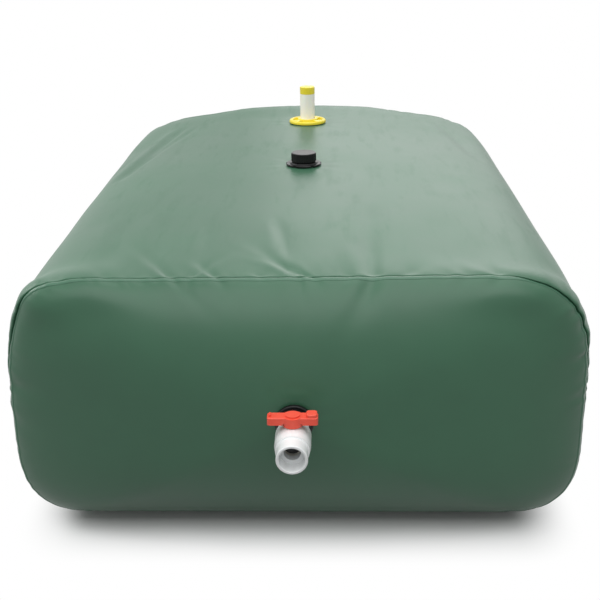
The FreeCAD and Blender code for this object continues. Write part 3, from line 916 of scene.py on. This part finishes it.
def plastic(name, dark, light, rough, grain, depth=0.00004, coat=0.0, subsurface=0.0, shine=0.5):
    """Moulded plastic with its spark grain, flow tone and handling marks."""
    material, tree, shader = new_material(
        name, Coat_Weight=coat, Coat_Roughness=0.25, Specular_IOR_Level=shine,
        Subsurface_Weight=subsurface, Subsurface_Radius=(0.004, 0.003, 0.002))
    skin = place_group(tree, MOULDED, Grain_per_Metre=grain).outputs
    rub = place_group(tree, HANDLING, Scuffs_per_Metre=160.0).outputs["Mask"]
    join(tree, mix_colour(tree, skin["Flow"], dark, light), shader.inputs["Base Color"])
    dulled = math_node(tree, "MULTIPLY_ADD", rub, PLASTIC_DULLING, rough)
    join(tree, dulled, shader.inputs["Roughness"])
    join(tree, bump(tree, skin["Height"], depth, GRAIN_STRENGTH), shader.inputs["Normal"])
    return material


def green_cloth():
    return tarpaulin("green_coated_cloth", linear(49, 90, 67), linear(57, 102, 76), smooth=0.34, rough=0.42,
                     cloth_strength=0.6)


def lap_cloth_painted_highlight():
    # Lighter green than the cloth as a painted highlight: light catching the raised strip over the seam.
    return tarpaulin("welded_lap_painted_highlight", linear(54, 97, 74), linear(64, 109, 84), smooth=0.25, rough=0.33,
                     cloth_strength=0.9)


def slot_finishes():
    """Finish of each material slot that the CAD nodes name."""
    return {
        "black_plastic": plastic("black_moulding", linear(13, 13, 14), linear(20, 20, 21), rough=0.34,
                                 grain=1300.0, depth=0.00005, shine=0.3),
        "rubber_seal": plastic("rubber", linear(34, 34, 34), linear(44, 44, 43), rough=0.62, grain=2200.0),
        "white_plastic": plastic("white_moulding", linear(233, 236, 236), linear(241, 243, 243), rough=0.28,
                                 grain=1800.0, depth=0.00003, coat=0.15),
        "seat_plastic": plastic("seat_ring", linear(226, 222, 210), linear(236, 233, 224), rough=0.40,
                                grain=2000.0, depth=0.00002),
        "red_plastic": plastic("red_moulding", linear(232, 76, 55), linear(240, 92, 70), rough=0.34,
                               grain=1500.0),
        "yellow_plastic": plastic("yellow_moulding", linear(232, 211, 46), linear(239, 221, 60), rough=0.34,
                                  grain=1600.0),
        "milky_plastic": plastic("milky_tube", linear(246, 243, 234), linear(251, 249, 242), rough=0.32,
                                 grain=1400.0, depth=0.00003, subsurface=0.2),
    }


def node_finishes_painted_shade():
    """Finishes of single nodes that differ from their slot's: the valve ball's dark grey is painted shade
    in the valve's bore.
    """
    return {
        # Dark grey ball as painted shade: it darkens the bore, which lies in shadow.
        "valve_ball": plastic("valve_ball_painted_shade", linear(62, 63, 64), linear(74, 75, 76), rough=0.30, grain=2000.0,
                              depth=0.00002),
    }


def dress_nodes():
    """Give each CAD node its own finish or its slot's; the valve ball gets a dark grey of painted shade.
    The bag's solid has none: its skin replaces it.
    """
    by_slot, by_node = slot_finishes(), node_finishes_painted_shade()
    slot_of = {part["node"]: part["material_slot"] for part in frame["record"]["subparts"]}
    for name, obj in nodes.items():
        finish = by_node.get(name, by_slot.get(slot_of.get(name)))
        if finish:
            for slot in obj.material_slots:
                slot.material = finish


# Studio

def seen_directly(tree, rays):
    """Mask of the rays that show a surface itself: from the camera, a mirror or a clear piece."""
    mirror = math_node(tree, "MAXIMUM", rays["Is Glossy Ray"], rays["Is Transmission Ray"])
    return math_node(tree, "MAXIMUM", rays["Is Camera Ray"], mirror)


def mix_shaders(tree, mask, first, second):
    mix = add(tree, "ShaderNodeMixShader")
    for socket, value in zip(mix.inputs, (mask, first.outputs[0], second.outputs[0])):
        join(tree, value, socket)
    return mix.outputs[0]


def vector_math(tree, operation, *values):
    node = add(tree, "ShaderNodeVectorMath", operation=operation)
    for socket, value in zip(node.inputs, values):
        join(tree, value, socket)
    return node.outputs


def floor_material():
    """Pale floor that keeps the shadow near the tank and runs out to plain white."""
    material, tree, shader = new_material("studio_floor", Roughness=FLOOR_ROUGHNESS)
    rays = add(tree, "ShaderNodeLightPath").outputs
    pale = mix_colour(tree, rays["Is Diffuse Ray"], FLOOR_SEEN, FLOOR_BOUNCE)
    join(tree, pale, shader.inputs["Base Color"])
    from_middle = vector_math(tree, "ABSOLUTE", object_place(tree))[0]
    foot = (BAG_HALF_WIDTH - FOOT_INSET, SEAM_Y, 0)
    beyond = vector_math(tree, "SUBTRACT", from_middle, foot)[0]
    far = vector_math(tree, "LENGTH", vector_math(tree, "MAXIMUM", beyond, (0, 0, 0))[0])["Value"]
    fade = add(tree, "ShaderNodeMapRange", interpolation_type="SMOOTHSTEP")
    for label, value in (("From Min", FLOOR_SHADE_FROM), ("From Max", FLOOR_SHADE_TO), ("Value", far)):
        join(tree, value, fade.inputs[label])
    plain = math_node(tree, "MULTIPLY", fade.outputs["Result"], seen_directly(tree, rays))
    floor = mix_shaders(tree, plain, shader, add(tree, "ShaderNodeEmission"))
    join(tree, floor, tree.nodes["Material Output"].inputs["Surface"])
    return material


def build_stage():
    bpy.ops.mesh.primitive_plane_add(size=FLOOR_SIZE, location=(0, 0, 0))
    floor = bpy.context.object
    floor.name = "studio_floor"
    floor.data.materials.append(floor_material())


def white_background(tree, strength):
    background = add(tree, "ShaderNodeBackground")
    join(tree, (1, 1, 1, 1), background.inputs["Color"])
    join(tree, strength, background.inputs["Strength"])
    return background


def build_world():
    """White all round: dimmer as a lamp than as it is seen."""
    world = bpy.data.worlds.new("studio_world")
    bpy.context.scene.world = world
    world.use_nodes = True
    tree = world.node_tree
    tree.nodes.clear()
    mask = seen_directly(tree, add(tree, "ShaderNodeLightPath").outputs)
    mixed = mix_shaders(tree, mask, white_background(tree, WORLD_FILL), white_background(tree, WORLD_SEEN))
    join(tree, mixed, add(tree, "ShaderNodeOutputWorld").inputs["Surface"])


def build_lamps():
    for name, (place, aim, size, watts) in LAMPS.items():
        light = bpy.data.lights.new(name, "AREA")
        light.shape = "RECTANGLE"
        light.size, light.size_y = size
        light.energy = watts
        lamp = bpy.data.objects.new(name, light)
        lamp.location = place
        lamp.rotation_euler = (Vector(aim) - Vector(place)).to_track_quat("-Z", "Y").to_euler()
        bpy.context.scene.collection.objects.link(lamp)


def build_camera():
    data = bpy.data.cameras.new("photo_camera")
    camera = bpy.data.objects.new("photo_camera", data)
    tilt, yaw = math.radians(CAMERA_TILT_DEG), math.radians(CAMERA_YAW_DEG)
    forward = Vector((math.sin(yaw) * math.cos(tilt), math.cos(yaw) * math.cos(tilt), -math.sin(tilt)))
    roll = Quaternion((0, 0, 1), -math.radians(CAMERA_ROLL_DEG))
    camera.location = CAMERA_PLACE
    camera.rotation_euler = (forward.to_track_quat("-Z", "Y") @ roll).to_euler()
    data.sensor_width = SENSOR_MM
    data.lens = FOCAL_PX / PHOTO_SIZE_PX * SENSOR_MM
    bpy.context.scene.collection.objects.link(camera)
    bpy.context.scene.camera = camera


dress_nodes()
build_bag(green_cloth(), lap_cloth_painted_highlight())
build_stage()
build_world()
build_lamps()
build_camera()
bpy.context.scene.view_settings.view_transform = "Standard"
bpy.context.view_layer.update()
